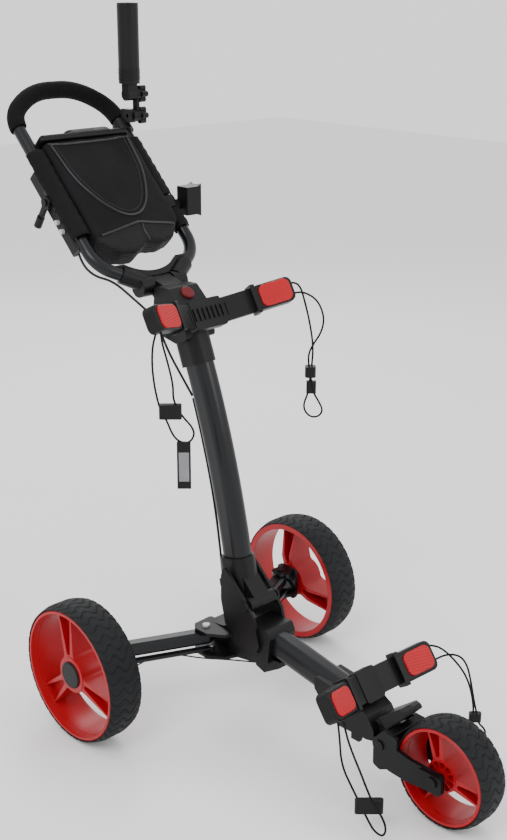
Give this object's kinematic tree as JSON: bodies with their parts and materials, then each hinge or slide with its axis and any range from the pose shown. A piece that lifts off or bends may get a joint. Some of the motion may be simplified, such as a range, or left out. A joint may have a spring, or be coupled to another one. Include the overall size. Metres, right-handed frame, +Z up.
{
  "type": "golf push cart",
  "caption": "Folding golf push cart with spoked foam-tyred wheels, a bowed upright, V-shaped bag cradles with push buttons, and a loop handle with pouch, umbrella holder and accessory mount.",
  "frame": {"origin": "ground level under the middle of the cart's footprint, cords left out", "axes": "+X forward towards the front wheel, +Y towards the cart's left, +Z up"},
  "size_m": [1.225, 0.677, 1.366],
  "materials": {
    "red_plastic": "semi-gloss moulded",
    "tyre_foam": "matt foam with a wavy tread",
    "black_plastic": "satin moulded",
    "black_paint": "satin powder coat",
    "steel": "zinc plated",
    "grip_foam": "matt closed-cell foam",
    "pouch_fabric": "woven polyester",
    "cord_cover": "braided cover over elastic",
    "cable_sheath": "smooth sheath"
  },
  "bodies": {
    "frame": {"lower_tube": "black_paint", "knuckle_block": "black_plastic", "leg_bolts": "steel", "hinge_cheeks": "black_plastic", "cable_bracket": "black_plastic", "front_housing": "black_plastic", "base_rest": "black_plastic", "lower_bag_bracket": "black_plastic", "lower_pods": "black_plastic", "lower_cord_right": "cord_cover", "lower_cord_left": "cord_cover", "lower_fitting_right": "black_plastic", "lower_fitting_left": "black_plastic", "leg_cable": "cable_sheath"},
    "upright": {"upright_tube": "black_paint", "upright_socket": "black_plastic", "upper_housing": "black_plastic", "upper_bag_bracket": "black_plastic", "upper_pods": "black_plastic", "upper_cord_right": "cord_cover", "upper_cord_left": "cord_cover", "upper_fittings_right": "black_plastic", "upper_fittings_left": "black_plastic", "brake_cable_upright": "cable_sheath"},
    "handle": {"handle_tube": "black_paint", "foam_grip": "grip_foam", "handle_yoke": "black_plastic", "accessory_pouch": "pouch_fabric", "console_tray": "black_plastic", "brake_bracket": "black_plastic", "umbrella_clamp": "black_plastic", "mount_clamp": "black_plastic", "brake_cable_handle": "cable_sheath"},
    "fork": {"front_fork": "black_plastic"},
    "front_wheel": {"front_rim": "red_plastic", "front_tyre": "tyre_foam"},
    "release": {"release_button": "red_plastic"},
    "brake": {"brake_lever": "black_plastic"},
    "umbrella_link": {"umbrella_swivel": "black_plastic"},
    "umbrella_socket": {"umbrella_tube": "black_plastic"},
    "low_knob": {"clamp_knob": "black_plastic"},
    "high_knob": {"tube_knob": "black_plastic"},
    "mount": {"accessory_mount": "black_plastic"},
    "leg_right": {"leg_tube_right": "black_paint"},
    "link_right": {"leg_link_right": "black_paint"},
    "hub_right": {"hub_bracket_right": "black_paint"},
    "wheel_right": {"rim_right": "red_plastic", "tyre_right": "tyre_foam", "hub_cap_right": "black_plastic"},
    "leg_left": {"leg_tube_left": "black_paint"},
    "link_left": {"leg_link_left": "black_paint"},
    "hub_left": {"hub_bracket_left": "black_paint"},
    "wheel_left": {"rim_left": "red_plastic", "tyre_left": "tyre_foam", "hub_cap_left": "black_plastic"},
    "upper_push_right": {"upper_button_right": "red_plastic"},
    "upper_push_left": {"upper_button_left": "red_plastic"},
    "lower_push_right": {"lower_button_right": "red_plastic"},
    "lower_push_left": {"lower_button_left": "red_plastic"}
  },
  "joints": [
    {"name": "upright_fold", "type": "hinge", "parent": "frame", "child": "upright", "pos_m": [0.0275, 0, 0.252], "axis": [0, 1, 0], "range_deg": [0, 100]},
    {"name": "leg_swing_right", "type": "hinge", "parent": "frame", "child": "leg_right", "pos_m": [-0.0695, -0.056, 0.156], "axis": [0, 0, 1], "range_deg": [0, 105], "deforming": ["leg_cable"]},
    {"name": "link_swing_right", "type": "hinge", "parent": "frame", "child": "link_right", "pos_m": [-0.0535, -0.056, 0.135], "axis": [0, 0, 1], "range_deg": [0, 105]},
    {"name": "hub_turn_right", "type": "hinge", "parent": "leg_right", "child": "hub_right", "pos_m": [-0.1475, -0.23, 0.156], "axis": [0, 0, 1], "range_deg": [-105, 0]},
    {"name": "wheel_spin_right", "type": "hinge", "parent": "hub_right", "child": "wheel_right", "pos_m": [-0.1535, -0.3015, 0.14], "axis": [0, 1, 0], "continuous": true},
    {"name": "leg_swing_left", "type": "hinge", "parent": "frame", "child": "leg_left", "pos_m": [-0.0695, 0.056, 0.156], "axis": [0, 0, 1], "range_deg": [-105, 0]},
    {"name": "link_swing_left", "type": "hinge", "parent": "frame", "child": "link_left", "pos_m": [-0.0535, 0.056, 0.135], "axis": [0, 0, 1], "range_deg": [-105, 0]},
    {"name": "hub_turn_left", "type": "hinge", "parent": "leg_left", "child": "hub_left", "pos_m": [-0.1475, 0.23, 0.156], "axis": [0, 0, 1], "range_deg": [0, 105]},
    {"name": "wheel_spin_left", "type": "hinge", "parent": "hub_left", "child": "wheel_left", "pos_m": [-0.1535, 0.3015, 0.14], "axis": [0, 1, 0], "continuous": true},
    {"name": "fork_fold", "type": "hinge", "parent": "frame", "child": "fork", "pos_m": [0.3865, 0, 0.112], "axis": [0, 1, 0], "range_deg": [0, 90]},
    {"name": "front_wheel_spin", "type": "hinge", "parent": "fork", "child": "front_wheel", "pos_m": [0.5125, 0, 0.1], "axis": [0, 1, 0], "continuous": true},
    {"name": "handle_hinge", "type": "hinge", "parent": "upright", "child": "handle", "pos_m": [-0.2615, 0, 0.843], "axis": [0, 1, 0], "range_deg": [-110, 15], "deforming": ["brake_cable_handle"]},
    {"name": "release_push", "type": "slide", "parent": "upright", "child": "release", "axis": [-0.6508, 0, -0.7593], "range_m": [0, 0.003], "stiffness_N_per_m": 400, "springref_m": -0.001},
    {"name": "upper_press_right", "type": "slide", "parent": "upright", "child": "upper_push_right", "axis": [-0.803, -0.3746, -0.4636], "range_m": [0, 0.003], "stiffness_N_per_m": 400, "springref_m": -0.001},
    {"name": "upper_press_left", "type": "slide", "parent": "upright", "child": "upper_push_left", "axis": [-0.803, 0.3746, -0.4636], "range_m": [0, 0.003], "stiffness_N_per_m": 400, "springref_m": -0.001},
    {"name": "lower_press_right", "type": "slide", "parent": "frame", "child": "lower_push_right", "axis": [-0.7815, -0.2588, -0.5678], "range_m": [0, 0.003], "stiffness_N_per_m": 400, "springref_m": -0.001},
    {"name": "lower_press_left", "type": "slide", "parent": "frame", "child": "lower_push_left", "axis": [-0.7815, 0.2588, -0.5678], "range_m": [0, 0.003], "stiffness_N_per_m": 400, "springref_m": -0.001},
    {"name": "brake_swing", "type": "hinge", "parent": "handle", "child": "brake", "pos_m": [-0.42442, -0.1483, 0.9996], "axis": [0, 1, 0], "range_deg": [0, 30]},
    {"name": "umbrella_swing", "type": "hinge", "parent": "handle", "child": "umbrella_link", "pos_m": [-0.5055, 0.1454, 1.14], "axis": [0, 1, 0], "range_deg": [-25, 60]},
    {"name": "umbrella_tilt", "type": "hinge", "parent": "umbrella_link", "child": "umbrella_socket", "pos_m": [-0.5055, 0.129, 1.184], "axis": [0, 1, 0], "range_deg": [-25, 60]},
    {"name": "low_knob_turn", "type": "hinge", "parent": "handle", "child": "low_knob", "pos_m": [-0.5055, 0.157, 1.14], "axis": [0, 1, 0], "continuous": true},
    {"name": "high_knob_turn", "type": "hinge", "parent": "umbrella_socket", "child": "high_knob", "pos_m": [-0.5055, 0.157, 1.184], "axis": [0, 1, 0], "continuous": true},
    {"name": "mount_tilt", "type": "hinge", "parent": "handle", "child": "mount", "pos_m": [-0.38128, 0.15, 0.96778], "axis": [0, 1, 0], "range_deg": [-45, 45]}
  ],
  "couplings": [
    {"joint": "leg_swing_right", "follows": "upright_fold", "ratio": 1.05},
    {"joint": "link_swing_right", "follows": "upright_fold", "ratio": 1.05},
    {"joint": "hub_turn_right", "follows": "upright_fold", "ratio": -1.05},
    {"joint": "leg_swing_left", "follows": "upright_fold", "ratio": -1.05},
    {"joint": "link_swing_left", "follows": "upright_fold", "ratio": -1.05},
    {"joint": "hub_turn_left", "follows": "upright_fold", "ratio": 1.05}
  ]
}
